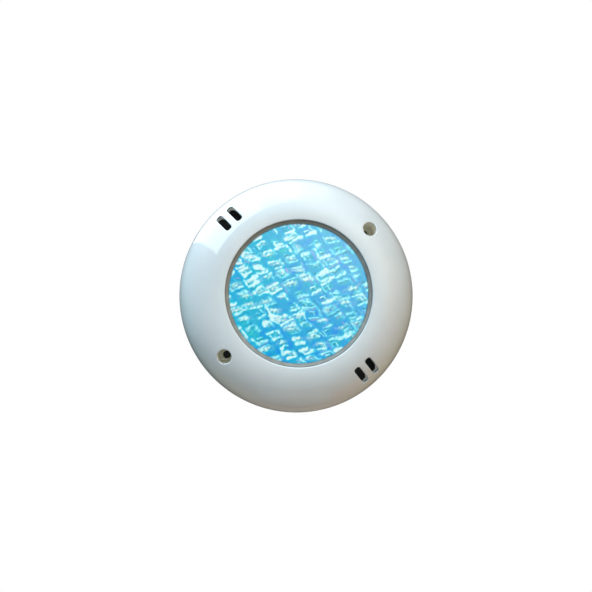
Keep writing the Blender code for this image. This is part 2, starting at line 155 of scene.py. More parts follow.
def use(ob, mat):
    ob.data.materials.clear()
    ob.data.materials.append(mat.m)


# ------------------------------------------------------------------ mesh helpers
def obj_from(name, verts, faces, mat, body, slot=None, smooth=35.0, replaces=()):
    me = bpy.data.meshes.new(name)
    me.from_pydata([tuple(v) for v in verts], [], [tuple(f) for f in faces])
    bm = bmesh.new()
    bm.from_mesh(me)
    bmesh.ops.remove_doubles(bm, verts=bm.verts[:], dist=2e-7)
    bmesh.ops.recalc_face_normals(bm, faces=bm.faces[:])
    bm.to_mesh(me)
    bm.free()
    me.update()
    ob = bpy.data.objects.new(name, me)
    scene.collection.objects.link(ob)
    me.shade_smooth()
    me.set_sharp_from_angle(angle=math.radians(smooth))
    use(ob, mat)
    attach(ob, body)
    for n in replaces:
        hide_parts(n)
    return ob


class Builder:
    """Collects vertices (mm: x, h, z) and faces of one piece."""

    def __init__(self):
        self.v, self.f = [], []

    def add(self, x, h, z):
        self.v.append((x * MM, -h * MM, z * MM))
        return len(self.v) - 1

    def ring(self, r, h, seg, cx=0.0, cz=0.0, phase=0.0):
        if not callable(r) and r < 1e-6:
            return [self.add(cx, h, cz)]
        out = []
        for k in range(seg):
            a = phase + 2 * math.pi * k / seg
            q = r(a) if callable(r) else r
            out.append(self.add(cx + q * math.cos(a), h, cz + q * math.sin(a)))
        return out

    def loop(self, pts, h):
        """One vertex per (x, z); h is a number or a function of (x, z)."""
        return [self.add(x, h(x, z) if callable(h) else h, z) for x, z in pts]

    def bridge(self, a, b):
        n = max(len(a), len(b))
        for k in range(n):
            j = (k + 1) % n
            if len(a) == 1:
                self.f.append((a[0], b[k], b[j]))
            elif len(b) == 1:
                self.f.append((a[k], b[0], a[j]))
            else:
                self.f.append((a[k], b[k], b[j], a[j]))

    def lathe(self, prof, seg, cx=0.0, cz=0.0, phase=0.0, closed=True):
        rings = [self.ring(r, h, seg, cx, cz, phase) for r, h in prof]
        for i in range(len(rings) if closed else len(rings) - 1):
            a, b = rings[i], rings[(i + 1) % len(rings)]
            if len(a) == 1 and len(b) == 1:
                continue
            self.bridge(a, b)
        return rings

    def make(self, name, mat, body, **kw):
        return obj_from(name, self.v, self.f, mat, body, **kw)


def round_profile(prof, radius, steps=3, skip=()):
    """Rounds each corner of a closed (r, h) outline, except on the axis and those in skip."""
    out = []
    n = len(prof)
    for i, (r, h) in enumerate(prof):
        if r < 1e-6 or i in skip:
            out.append((r, h))
            continue
        p = Vector((r, h))
        a = Vector(prof[i - 1]) - p
        b = Vector(prof[(i + 1) % n]) - p
        if a.length < 1e-6 or b.length < 1e-6:
            out.append((r, h))
            continue
        ang = a.angle(b)
        if ang > math.radians(170):
            out.append((r, h))
            continue
        t = min(radius / math.tan(ang / 2), a.length * 0.45, b.length * 0.45)
        pa, pb = p + a.normalized() * t, p + b.normalized() * t
        for k in range(steps + 1):
            s = k / steps
            q = pa * (1 - s) ** 2 + p * 2 * s * (1 - s) + pb * s ** 2
            out.append((q.x, q.y))
    return out


def circle_pts(cx, cz, r, n, phase=0.0):
    return [(cx + r * math.cos(phase + 2 * math.pi * k / n),
             cz + r * math.sin(phase + 2 * math.pi * k / n)) for k in range(n)]


def slot_pts(cx, cz, length, width, corner, ang, arc=5, side=3, grow=0.0):
    """Outline of a slot with rounded corners, grown outward by a distance."""
    pts = []
    hx, hy = length / 2 - corner, width / 2 - corner
    corners = ((1, -1, -math.pi / 2), (1, 1, 0.0), (-1, 1, math.pi / 2), (-1, -1, math.pi))
    for idx, (sx, sy, start) in enumerate(corners):
        c = corner + grow
        for i in range(arc + 1):
            t = start + (math.pi / 2) * i / arc
            pts.append((sx * hx + c * math.cos(t), sy * hy + c * math.sin(t)))
        nx, ny, ns = corners[(idx + 1) % 4]
        p0 = pts[-1]
        p1 = (nx * hx + c * math.cos(ns), ny * hy + c * math.sin(ns))
        m = side if idx % 2 == 1 else 1
        for i in range(1, m + 1):
            s = i / (m + 1)
            pts.append((p0[0] * (1 - s) + p1[0] * s, p0[1] * (1 - s) + p1[1] * s))
    ca, sa = math.cos(ang), math.sin(ang)
    return [(cx + x * ca - y * sa, cz + x * sa + y * ca) for x, y in pts]


def hexr(af, soften=0.0):
    return lambda a: (af / 2.0 / math.cos(((a + math.pi / 6) % (math.pi / 3)) - math.pi / 6)
                      * (1 - soften) + af / 2.0 * 1.07 * soften)


# ------------------------------------------------------------------ materials
abs_white = Mat("white_abs", (0.80, 0.83, 0.84), 0.16)
abs_white.vary_color(55.0, 0.035, (0.99, 1.0, 1.0)).vary_rough(140.0, 0.045, 0.08)
abs_white.bump(900.0, 0.02, 0.00003)
abs_white.set(Specular_IOR_Level=0.8)

# bore and boss plastic: a lighter, warmer copy of the white ABS with a faint glow, painted light
# standing in for the light that reaches down into the bores
bore_mat = Mat("white_abs_matt", (0.93, 0.90, 0.80), 0.45)
bore_mat.vary_color(90.0, 0.03).vary_rough(200.0, 0.38, 0.55).bump(900.0, 0.1, 0.00004)
bore_mat.set(**{"Emission Color": (0.58, 0.64, 0.54, 1.0), "Emission Strength": 0.028})

gasket_mat = Mat("grey_silicone", (0.31, 0.305, 0.28), 0.36)
gasket_mat.vary_color(160.0, 0.22, (1.0, 0.98, 0.95)).vary_rough(300.0, 0.32, 0.55)
gasket_mat.bump(700.0, 0.25, 0.00006)

lens_mat = Mat("clear_polycarbonate", (0.93, 0.985, 1.0), 0.03)
lens_mat.set(Transmission_Weight=1.0, IOR=1.45, Specular_IOR_Level=0.3)

clamp_mat = Mat("clamp_nylon", (0.52, 0.54, 0.56), 0.42)
clamp_mat.vary_color(90.0, 0.08).vary_rough(200.0, 0.34, 0.5).bump(800.0, 0.15, 0.00005)

steel_mat = Mat("stainless_screw", (0.62, 0.61, 0.59), 0.28, 1.0)
steel_mat.vary_rough(400.0, 0.20, 0.40, stretch=(1.0, 8.0, 1.0)).bump(900.0, 0.12, 0.00003)

alu_mat = Mat("board_aluminium", (0.72, 0.73, 0.74), 0.36, 1.0)
alu_mat.vary_rough(300.0, 0.28, 0.45, stretch=(12.0, 1.0, 1.0)).bump(500.0, 0.1, 0.00003)

led_mat = Mat("led_white_mask", (0.84, 0.86, 0.82), 0.35)
led_mat.vary_color(120.0, 0.05).bump(500.0, 0.1, 0.00005)

pad_mat = Mat("thermal_silicone", (0.35, 0.42, 0.50), 0.7)
pad_mat.vary_color(100.0, 0.15).bump(600.0, 0.3, 0.00008)

fr4_mat = Mat("driver_green", (0.05, 0.22, 0.10), 0.4)
fr4_mat.vary_color(200.0, 0.25).bump(900.0, 0.2, 0.00003)

black_mat = Mat("component_black", (0.03, 0.03, 0.03), 0.45)
black_mat.vary_rough(300.0, 0.35, 0.6).bump(1200.0, 0.2, 0.00003)

can_mat = Mat("capacitor_can", (0.70, 0.71, 0.72), 0.3, 1.0)
can_mat.vary_rough(300.0, 0.22, 0.4)

ferrite_mat = Mat("inductor_ferrite", (0.10, 0.10, 0.11), 0.6)
ferrite_mat.vary_color(250.0, 0.3).bump(700.0, 0.3, 0.00006)

body_mat = Mat("housing_abs", (0.66, 0.69, 0.70), 0.3)
body_mat.vary_color(60.0, 0.04).vary_rough(160.0, 0.26, 0.36).bump(700.0, 0.02, 0.00002)

oring_mat = Mat("oring_nitrile", (0.03, 0.03, 0.033), 0.55)
oring_mat.vary_rough(300.0, 0.45, 0.7).bump(500.0, 0.2, 0.00004)

red_mat = Mat("lead_red", (0.62, 0.05, 0.04), 0.4)
red_mat.vary_rough(300.0, 0.35, 0.5)
blk_mat = Mat("lead_black", (0.03, 0.03, 0.03), 0.4)
blk_mat.vary_rough(300.0, 0.35, 0.5)

gland_mat = Mat("gland_nylon", (0.075, 0.078, 0.085), 0.38)
gland_mat.vary_color(120.0, 0.25).vary_rough(200.0, 0.3, 0.5).bump(900.0, 0.2, 0.00004)

brkt_mat = Mat("bracket_abs", (0.048, 0.051, 0.056), 0.38)
brkt_mat.vary_color(80.0, 0.3).vary_rough(160.0, 0.4, 0.62).bump(1100.0, 0.35, 0.00006)

for name, mat in (("clamp_ring", clamp_mat), ("led_board", alu_mat), ("led_array", led_mat),
                  ("thermal_pad", pad_mat), ("driver_board", fr4_mat),
                  ("bridge_rectifier", black_mat), ("driver_ic", black_mat),
                  ("power_inductor", ferrite_mat), ("smoothing_capacitor", can_mat),
                  ("led_lead_plus", red_mat), ("led_lead_minus", blk_mat),
                  ("housing", body_mat), ("housing_oring", oring_mat),
                  ("gland_body", gland_mat), ("gland_nut", gland_mat),
                  ("gland_lock_nut", gland_mat), ("gland_seal", oring_mat),
                  ("gland_oring", oring_mat), ("wall_bracket", brkt_mat),
                  ("face_ring", abs_white), ("lens", lens_mat), ("lens_gasket", gasket_mat),
                  *(("clamp_screw_%d" % (k + 1), steel_mat) for k in range(6))):
    use(nodes[name], mat)


# ------------------------------------------------------------------ face ring
def dome_h(r):
    if r <= CREST_R:
        return DEPTH
    x = min((r - CREST_R) / DOME_A, 1.0)
    return RIM_H1 + DOME_B * math.sqrt(max(1.0 - x * x, 0.0))


def dome_in(r):
    x = min(max((r - CREST_R) / (DOME_A - SHELL_T), 0.0), 1.0)
    return RIM_H1 + (DOME_B - SHELL_T) * math.sqrt(max(1.0 - x * x, 0.0))


RHO = 0.55          # rounding round the mouths of the holes and slots
SEG = 192
CAP_R = 72.3        # the dome is a height field inside this radius, and turned outside it

holes = []          # each: kind, outline function of growth, distance function
for ang in BOSS_ANGS:
    a = math.radians(ang)
    cx, cz = BOSS_PCR * math.cos(a), BOSS_PCR * math.sin(a)
    holes.append(("bore", lambda g, cx=cx, cz=cz: circle_pts(cx, cz, CBORE_R + g, 40),
                  lambda x, z, cx=cx, cz=cz: math.hypot(x - cx, z - cz) - CBORE_R, (cx, cz)))
for ang in SLOT_ANGS:
    a = math.radians(ang)
    for off in (-SLOT_OFF, SLOT_OFF):
        cx = SLOT_PCR * math.cos(a) - off * math.sin(a)
        cz = SLOT_PCR * math.sin(a) + off * math.cos(a)

        def dist(x, z, cx=cx, cz=cz, a=a):
            dx, dz = x - cx, z - cz
            u = abs(dx * math.cos(a) + dz * math.sin(a)) - (SLOT_L / 2 - SLOT_C)
            v = abs(-dx * math.sin(a) + dz * math.cos(a)) - (SLOT_W / 2 - SLOT_C)
            return math.hypot(max(u, 0), max(v, 0)) + min(max(u, v), 0) - SLOT_C
        holes.append(("slot", lambda g, cx=cx, cz=cz, a=a:
                      slot_pts(cx, cz, SLOT_L, SLOT_W, SLOT_C, a, 6, 5, g), dist, (cx, cz)))


def mouth(x, z):
    d = min(h[2](x, z) for h in holes)
    if d >= RHO:
        return 0.0
    d = max(d, 0.0)
    return RHO - math.sqrt(max(RHO * RHO - (RHO - d) ** 2, 0.0))


def top_h(x, z):
    return dome_h(math.hypot(x, z)) - mouth(x, z)


def top_normal(x, z):
    e = 0.02
    gx = (top_h(x + e, z) - top_h(x - e, z)) / (2 * e)
    gz = (top_h(x, z + e) - top_h(x, z - e)) / (2 * e)
    return Vector((-gx, -1.0, -gz)).normalized()


def planar(radii, grows, seg=SEG):
    """Triangles of an annulus with the holes cut out; loops follow each outline.
    Returns points, triangles, the boundary circles and the hole outlines as index lists."""
    pts, edges = [], []

    def loop(ps):
        s = len(pts)
        pts.extend(Vector(p) for p in ps)
        edges.extend((s + k, s + (k + 1) % len(ps)) for k in range(len(ps)))
        return list(range(s, s + len(ps)))
    inner = loop(circle_pts(0, 0, radii[0], seg))
    outer = loop(circle_pts(0, 0, radii[-1], seg))
    outlines = []
    for h in holes:
        lines = [loop(h[1](g)) for g in grows]
        outlines.append(lines[0])
    margin = grows[-1] + 0.45
    for i, r in enumerate(radii[1:-1]):
        for k in range(seg):
            a = 2 * math.pi * (k + 0.5 * (i % 2)) / seg
            x, z = r * math.cos(a), r * math.sin(a)
            if min(h[2](x, z) for h in holes) > margin:
                pts.append(Vector((x, z)))
    res = delaunay_2d_cdt(pts, edges, [], 0, 1e-7, True)
    vs, _, fs, orig = res[0], res[1], res[2], res[3]
    index = {}
    for new, olds in enumerate(orig):
        for o in olds:
            index[o] = new
    tris = []
    for f in fs:
        cx = sum(vs[i].x for i in f) / 3
        cz = sum(vs[i].y for i in f) / 3
        r = math.hypot(cx, cz)
        if r < radii[0] * math.cos(math.pi / seg) or r > radii[-1]:
            continue
        if min(h[2](cx, cz) for h in holes) < grows[0] - 1e-4:
            continue
        tris.append(tuple(f))
    return ([(v.x, v.y) for v in vs], tris, [index[i] for i in inner],
            [index[i] for i in outer], [[index[i] for i in o] for o in outlines])


ring = Builder()
n_r = 15
top_r = [CREST_R + (CAP_R - CREST_R) * (i / n_r) ** 0.9 for i in range(n_r + 1)]
pts, tris, t_in, t_out, t_holes = planar(top_r, [0.0, 0.12, 0.28, 0.55])
t_idx = [ring.add(x, top_h(x, z), z) for x, z in pts]
n_top_faces = len(tris)
ring.f += [tuple(t_idx[i] for i in f) for f in tris]
dome_faces = set(range(0, n_top_faces))

in_r = [SLEEVE_R + SLEEVE_T + (CAP_R - SHELL_T - SLEEVE_R - SLEEVE_T) * i / 6 for i in range(7)]
pts2, tris2, b_in, b_out, b_holes = planar(in_r, [0.0], 96)
b_idx = [ring.add(x, dome_in(math.hypot(x, z)), z) for x, z in pts2]
ring.f += [tuple(reversed([b_idx[i] for i in f])) for f in tris2]
for top, bot in zip(t_holes, b_holes):
    ring.bridge([t_idx[i] for i in top], [b_idx[i] for i in bot])

# outer edge and rim, turned on from the cap
a_cap = math.acos((CAP_R - CREST_R) / DOME_A)
rings = [[t_idx[i] for i in t_out]]
for i in range(1, 9):
    a = a_cap * (1 - i / 8)
    rings.append(ring.ring(CREST_R + DOME_A * math.cos(a), RIM_H1 + DOME_B * math.sin(a), SEG))
for r, h in ((R_OUT, RIM_H0 + 0.5), (R_OUT - 0.12, RIM_H0 + 0.2), (R_OUT - 0.35, RIM_H0 + 0.05),
             (R_OUT - 0.6, RIM_H0), (R_OUT - SHELL_T + 0.4, RIM_H0),
             (R_OUT - SHELL_T, RIM_H0 + 0.4)):
    rings.append(ring.ring(r, h, SEG))
for a, b in zip(rings, rings[1:]):
    ring.bridge(a, b)
# inner dome side, on half as many points
a_in, b_in_ax = DOME_A - SHELL_T, DOME_B - SHELL_T
a_c2 = math.acos((CAP_R - SHELL_T - CREST_R) / a_in)
inner_rings = [[b_idx[i] for i in b_out]]
for i in range(1, 7):
    a = a_c2 * (1 - i / 6)
    inner_rings.append(ring.ring(CREST_R + a_in * math.cos(a), RIM_H1 + b_in_ax * math.sin(a), 96))
for a, b in zip(inner_rings, inner_rings[1:]):
    ring.bridge(a, b)
last96, first192 = inner_rings[-1], rings[-1]
for k in range(96):
    j = (k + 1) % 96
    m = 2 * k
    ring.f.append((first192[m], first192[(m + 1) % SEG], last96[k]))
    ring.f.append((first192[(m + 1) % SEG], first192[(m + 2) % SEG], last96[j], last96[k]))

# crest, lip, underside, sleeve
lip = [[t_idx[i] for i in t_in]]
lip_prof = [(CREST_R - 0.7, DEPTH), (LIP_R + 0.65, DEPTH)]
for i in range(1, 7):
    a = (math.pi / 2) * i / 6
    lip_prof.append((LIP_R + 0.65 - 0.65 * math.sin(a), DEPTH - 0.65 + 0.65 * math.cos(a)))
lip_prof += [(LIP_R, LIP_UNDER + 0.4), (LIP_R + 0.12, LIP_UNDER + 0.12), (LIP_R + 0.4, LIP_UNDER),
             (SLEEVE_R - 0.2, LIP_UNDER), (SLEEVE_R, LIP_UNDER - 0.2), (SLEEVE_R, SLEEVE_H + 0.3),
             (SLEEVE_R + 0.3, SLEEVE_H), (SLEEVE_R + SLEEVE_T - 0.3, SLEEVE_H),
             (SLEEVE_R + SLEEVE_T, SLEEVE_H + 0.3)]
for r, h in lip_prof:
    lip.append(ring.ring(r, h, SEG))
for a, b in zip(lip, lip[1:]):
    ring.bridge(a, b)
sleeve_top = [b_idx[i] for i in b_in]
for k in range(96):
    j = (k + 1) % 96
    m = 2 * k
    ring.f.append((lip[-1][m], lip[-1][(m + 1) % SEG], sleeve_top[k]))
    ring.f.append((lip[-1][(m + 1) % SEG], lip[-1][(m + 2) % SEG], sleeve_top[j], sleeve_top[k]))
shell_obj = ring.make("ring_shell", abs_white, "ring", slot="white_abs", smooth=40.0,
                      replaces=("face_ring",))

# screw bosses and ribs behind the shell
boss = Builder()
for ang in BOSS_ANGS:
    a = math.radians(ang)
    cx, cz = BOSS_PCR * math.cos(a), BOSS_PCR * math.sin(a)
    n = 40
    outer_top = boss.loop(circle_pts(cx, cz, BOSS_R, n),
                          lambda x, z: 0.5 * (dome_h(math.hypot(x, z)) + dome_in(math.hypot(x, z))))
    inner_top = boss.loop(circle_pts(cx, cz, CBORE_R - 0.04, n),
                          lambda x, z: 0.5 * (dome_h(math.hypot(x, z)) + dome_in(math.hypot(x, z))))
    chain = [inner_top]
    for r, h in ((CBORE_R - 0.04, SEAT_H + 0.3), (CBORE_R - 0.34, SEAT_H), (THRU_R + 0.3, SEAT_H),
                 (THRU_R, SEAT_H - 0.3), (THRU_R, BOSS_H + 0.2), (THRU_R + 0.2, BOSS_H),
                 (BOSS_R - 0.3, BOSS_H), (BOSS_R, BOSS_H + 0.3)):
        chain.append(boss.ring(r, h, n, cx, cz))
    chain.append(outer_top)
    for p, q in zip(chain, chain[1:] + chain[:1]):
        boss.bridge(p, q)
boss.make("ring_bosses", bore_mat, "ring", slot="white_abs", smooth=40.0)

# moulded walls below the slots, deepest at the outer ends
walls = Builder()
for kind, outline, _, _ in [h for h in holes if h[0] == "slot"]:
    def mid(x, z):
        return 0.5 * (dome_h(math.hypot(x, z)) + dome_in(math.hypot(x, z)))

    def low(x, z):
        t = min(max((math.hypot(x, z) - 62.5) / 5.0, 0.0), 1.0)
        return min(24.4 - 13.6 * t, mid(x, z) - 0.9)
    p_in, p_out = outline(0.02), outline(1.15)
    chain = [walls.loop(p_in, mid), walls.loop(p_in, lambda x, z: low(x, z) + 0.25),
             walls.loop(outline(0.25), low), walls.loop(outline(0.9), low),
             walls.loop(p_out, lambda x, z: low(x, z) + 0.25), walls.loop(p_out, mid)]
    for p, q in zip(chain, chain[1:] + chain[:1]):
        walls.bridge(p, q)
# slot walls: a lighter copy of the white ABS with a glow, painted light standing in for the light that
# reaches into the slots
slot_mat = Mat("white_abs_slot", (0.90, 0.90, 0.84), 0.45)
slot_mat.vary_rough(200.0, 0.38, 0.55)
slot_mat.set(**{"Emission Color": (0.70, 0.74, 0.70, 1.0), "Emission Strength": 0.16})
walls.make("ring_slot_walls", slot_mat, "ring", slot="white_abs", smooth=40.0)

ribs = Builder()
for k in range(4):
    ang = math.radians(RIB_ANG + 90 * k)
    u, w = (math.cos(ang), math.sin(ang)), (-math.sin(ang), math.cos(ang))
    r0, r1, nn = SLEEVE_R + 0.8, R_OUT - SHELL_T + 0.9, 14
    outline = [(r0, 17.0), (r1 - 6.0, 6.0), (r1, 4.0)]
    for i in range(nn + 1):
        r = r1 + (r0 - r1) * i / nn
        outline.append((r, max(dome_h(r) - 1.2, 4.6)))
    sides = []
    for s in (-0.8, 0.8):
        sides.append([ribs.add(u[0] * r + w[0] * s, h, u[1] * r + w[1] * s) for r, h in outline])
    ribs.f.append(tuple(sides[0]))
    ribs.f.append(tuple(reversed(sides[1])))
    for i in range(len(outline)):
        j = (i + 1) % len(outline)
        ribs.f.append((sides[0][i], sides[1][i], sides[1][j], sides[0][j]))
ribs.make("ring_ribs", abs_white, "ring", slot="white_abs", smooth=30.0)

# smooth shading of the dome from its own formula, so the triangles never show in the gloss
me = shell_obj.data
co = np.zeros(len(me.vertices) * 3)
me.vertices.foreach_get("co", co)
co = co.reshape(-1, 3) / MM
normals = [Vector(n.vector) for n in me.corner_normals]
for poly in me.polygons:
    c = poly.center / MM
    r = math.hypot(c[0], c[2])
    if CREST_R - 0.9 < r < CAP_R + 0.05 and -c[1] > dome_in(r) + 1.0:
        d = min(h[2](c[0], c[2]) for h in holes)
        if d > 0.0:
            for li in poly.loop_indices:
                v = co[me.loops[li].vertex_index]
                rr = math.hypot(v[0], v[2])
                if rr <= CREST_R:
                    normals[li] = Vector((0, -1, 0))
                elif min(h[2](v[0], v[2]) for h in holes) > 0.02:
                    normals[li] = top_normal(v[0], v[2])
me.normals_split_custom_set([tuple(n) for n in normals])

# ------------------------------------------------------------------ lens, gasket
# the lens is a clear cap with its rim and skirt, over a moulded prismatic layer
b = Builder()
b.lathe(round_profile([(0, 28.4), (42.1, 28.4), (42.1, 24.4), (45.5, 24.4), (45.5, 22.6),
                       (39.6, 22.6), (39.6, 25.0), (41.92, 25.1), (41.92, 27.05), (0, 27.05)],
                      0.25, 3), 160)
lens_ob = b.make("lens_clear", lens_mat, "lamp", slot="clear_polycarbonate", smooth=30.0,
                 replaces=("lens",))
lens_ob.visible_shadow = False

b = Builder()
b.lathe(round_profile([(42.2, 27.95), (43.75, 28.75), (44.1, 28.6), (44.1, 27.4), (43.9, 26.0),
                       (45.5, 26.0), (45.5, 24.7), (42.3, 24.7)], 0.25, 4), 160)
b.make("gasket_ring", gasket_mat, "lamp", slot="grey_silicone", smooth=40.0,
       replaces=("lens_gasket",))

# ------------------------------------------------------------------ prismatic layer
# each cell is painted with a broken, skewed image of a square LED as the moulded facets would bend it:
# painted refraction of the LED light, with painted shade beside its strokes
PR, PAT_H = 41.86, 26.45
PITCH_A, PITCH_B = np.array([9.4, 2.5]), np.array([4.6, -5.8])
step = 0.25
n_g = 2 * int(PR / step + 2) + 1
axis = (np.arange(n_g) - n_g // 2) * step
X, Z = np.meshgrid(axis, axis, indexing="ij")
rng = random.Random(11)


def srgb(r, g, b):
    return np.array([c / 12.92 if c <= 0.04045 else ((c + 0.055) / 1.055) ** 2.4
                     for c in (r / 255.0, g / 255.0, b / 255.0)])


def waves(count, lo, hi, amp):
    """A smooth random field made of plane waves between two wavelengths."""
    f = np.zeros_like(X)
    for _ in range(count):
        w, a = 2 * math.pi / rng.uniform(lo, hi), rng.uniform(0, 2 * math.pi)
        f += np.sin(w * (X * math.cos(a) + Z * math.sin(a)) + rng.uniform(0, 2 * math.pi))
    return amp * f / math.sqrt(count)


WX = X + waves(7, 9, 22, 0.55) + waves(9, 2.6, 5, 0.20)
WZ = Z + waves(7, 9, 22, 0.55) + waves(9, 2.6, 5, 0.20)
crumple = np.clip(0.80 + waves(14, 1.9, 4.2, 0.42), 0.15, 1.25)
layers = {k: np.zeros_like(X) for k in ("bright", "white", "teal", "violet", "dark", "fringe")}


def patch_of(c, r):
    i0, i1 = np.searchsorted(axis, [c[0] - r, c[0] + r])
    j0, j1 = np.searchsorted(axis, [c[1] - r, c[1] + r])
    return slice(max(i0, 0), i1), slice(max(j0, 0), j1)


def stroke(layer, a, b, w0, w1, amp, soft=0.5):
    sl = patch_of((a + b) / 2, math.hypot(*(b - a)) / 2 + max(w0, w1) + soft + 2.2)
    x, z = WX[sl], WZ[sl]
    if not x.size:
        return
    dx, dz = b - a
    t = np.clip(((x - a[0]) * dx + (z - a[1]) * dz) / (dx * dx + dz * dz + 1e-9), 0, 1)
    d = np.hypot(x - a[0] - t * dx, z - a[1] - t * dz) - (w0 + (w1 - w0) * t)
    v = amp / (1 + np.exp(np.clip(d / (soft * 0.30), -30, 30)))
    layers[layer][sl] = np.maximum(layers[layer][sl], v)


def blob(layer, c, ra, rb, ang, amp):
    sl = patch_of(c, 3 * max(ra, rb) + 1)
    x, z = WX[sl] - c[0], WZ[sl] - c[1]
    u = (x * math.cos(ang) + z * math.sin(ang)) / ra
    v = (-x * math.sin(ang) + z * math.cos(ang)) / rb
    layers[layer][sl] += amp * np.exp(-(u * u + v * v))


def blurred(f, sigma):
    k = np.fft.fftfreq(n_g, step)
    g = np.exp(-2 * (math.pi * sigma) ** 2 * (k[:, None] ** 2 + k[None, :] ** 2))
    return np.fft.ifft2(np.fft.fft2(f) * g).real


SHAPES = ((0.24, ("top", "right")), (0.42, ("right", "bot")), (0.50, ("left", "top")),
          (0.58, ("left", "bot")), (0.74, ("top", "right", "bot")), (0.84, ("left", "top", "bot")),
          (0.95, ("top", "right", "bot", "left")), (1.01, ("bot",)))
for i in range(-10, 11):
    for j in range(-12, 13):
        c = (PITCH_A * i + PITCH_B * j
             + np.array([rng.uniform(-1.0, 1.0), rng.uniform(-0.8, 0.8)]))
        u = [rng.random() for _ in range(12)]
        if math.hypot(*c) > 45:
            continue
        s = 0.66 + 0.50 * u[0]
        rot = (u[1] - 0.5) * 0.34
        ga = math.radians(20) + rot
        gb = math.radians(-50) + rot * 0.8 + (u[2] - 0.5) * 0.25
        va = np.array([math.cos(ga), math.sin(ga)])
        vb = np.array([math.cos(gb), math.sin(gb)])
        la, lb = 3.1 * s * (0.85 + 0.35 * u[3]), 2.45 * s * (0.85 + 0.35 * u[4])
        side = min(max(1.0 - 0.0035 * c[0] + 0.002 * c[1], 0.5), 1.25)
        amp = (0.76 + 0.55 * u[5]) * side
        w = (0.42 + 0.50 * u[6]) * (0.75 + 0.35 * s)
        q0, q1, q2, q3 = (c - va * la - vb * lb, c + va * la - vb * lb,
                          c + va * la + vb * lb, c - va * la + vb * lb)
        sides = {"top": (q0, q1), "right": (q1, q2), "bot": (q2, q3), "left": (q3, q0)}
        for q in next(names for lim, names in SHAPES if u[7] < lim):
            a, b_ = sides[q]
            a2 = a + (b_ - a) * rng.uniform(-0.1, 0.2)
            b2 = a + (b_ - a) * rng.uniform(0.78, 1.08)
            taper = rng.uniform(0.15, 1.6)
            wide = 1.35 if q in ("top", "bot") else 0.85
            stroke("bright", a2, b2, w * taper * wide, w * (1.75 - taper) * wide,
                   amp * rng.uniform(0.72, 1.0) * (1.0 if wide > 1 else 0.84), 1.0)
            # beside each stroke runs a lavender fringe line or a dark line, picked at random, and top
            # and bottom strokes get a second dark line: the dark lines are painted shade that makes the
            # facets look embossed
            o = (vb if q in ("top", "bot") else va) * (0.9 + w) * rng.choice((-1, 1))
            stroke(rng.choice(("fringe", "dark")), a2 + o * 0.9, b2 + o * 0.9, 0.22, 0.10,
                   rng.uniform(0.3, 0.95), 0.45)
            if q in ("top", "bot"):
                n_ = vb * (0.55 + 0.9 * w) * rng.choice((-1, 1))
                stroke("dark", a2 + n_ * 0.9, b2 + n_ * 1.1, 0.30, 0.12, rng.uniform(0.4, 0.9), 0.5)
            if rng.random() < 0.3:
                e = o * rng.uniform(1.2, 1.9)
                m0, m1 = rng.uniform(0, 0.4), rng.uniform(0.5, 1.0)
                stroke("bright", a2 + (b2 - a2) * m0 + e, a2 + (b2 - a2) * m1 + e, 0.26, 0.12,
                       amp * rng.uniform(0.3, 0.7), 0.45)
        blob("teal", c, la * 0.9, lb * 0.9, ga, (0.3 + 0.9 * u[8]) * (1.0 if u[8] > 0.2 else 0.2))
        # most cells get an inner bar: a dark stroke of painted shade with a bright stroke just beside
        # it
        if u[9] < 0.85:
            o = c + va * rng.uniform(-0.9, 0.7) + vb * rng.uniform(-0.5, 0.7)
            stroke("dark", o - va * 0.42 * la, o + va * 0.45 * la, 0.34 * s, 0.12,
                   rng.uniform(0.5, 1.1), 0.5)
            o2 = o - vb * 1.0 * s
            stroke("bright", o2 - va * 0.38 * la, o2 + va * 0.40 * la, 0.50 * s, 0.15,
                   amp * rng.uniform(0.55, 1.0), 0.5)
            if u[10] < 0.55:
                o3 = o + va * 0.2
                stroke("bright", o3 - vb * 0.2, o3 + vb * 1.8 * s, 0.45, 0.15,
                       amp * rng.uniform(0.5, 0.95), 0.5)
        if u[11] > 0.40 + 0.007 * c[0] - 0.003 * c[1]:
            blob("white", c + va * rng.uniform(-1.5, 1.8) - vb * 0.7, 3.0 * s, 1.15 * s,
                 ga - 0.25, rng.uniform(0.6, 1.25) * side)
        for _ in range(1):
            o = c + np.array([rng.uniform(-5.5, 5.5), rng.uniform(-4, 4)])
            d = va if rng.random() < 0.7 else vb
            ln = rng.uniform(0.5, 2.2)
            which = ("bright", "fringe", "dark", "bright")[rng.randrange(4)]
            stroke(which, o - d * ln, o + d * ln, rng.uniform(0.12, 0.34), 0.08,
                   rng.uniform(0.25, 0.8) * (side if which == "bright" else 1), 0.45)
        blob("violet", c + va * 5.0 + np.array([rng.uniform(-1, 1), rng.uniform(-1, 1)]),
             rng.uniform(1.8, 3.6), rng.uniform(1.2, 2.4), ga, rng.uniform(0.1, 1.0))

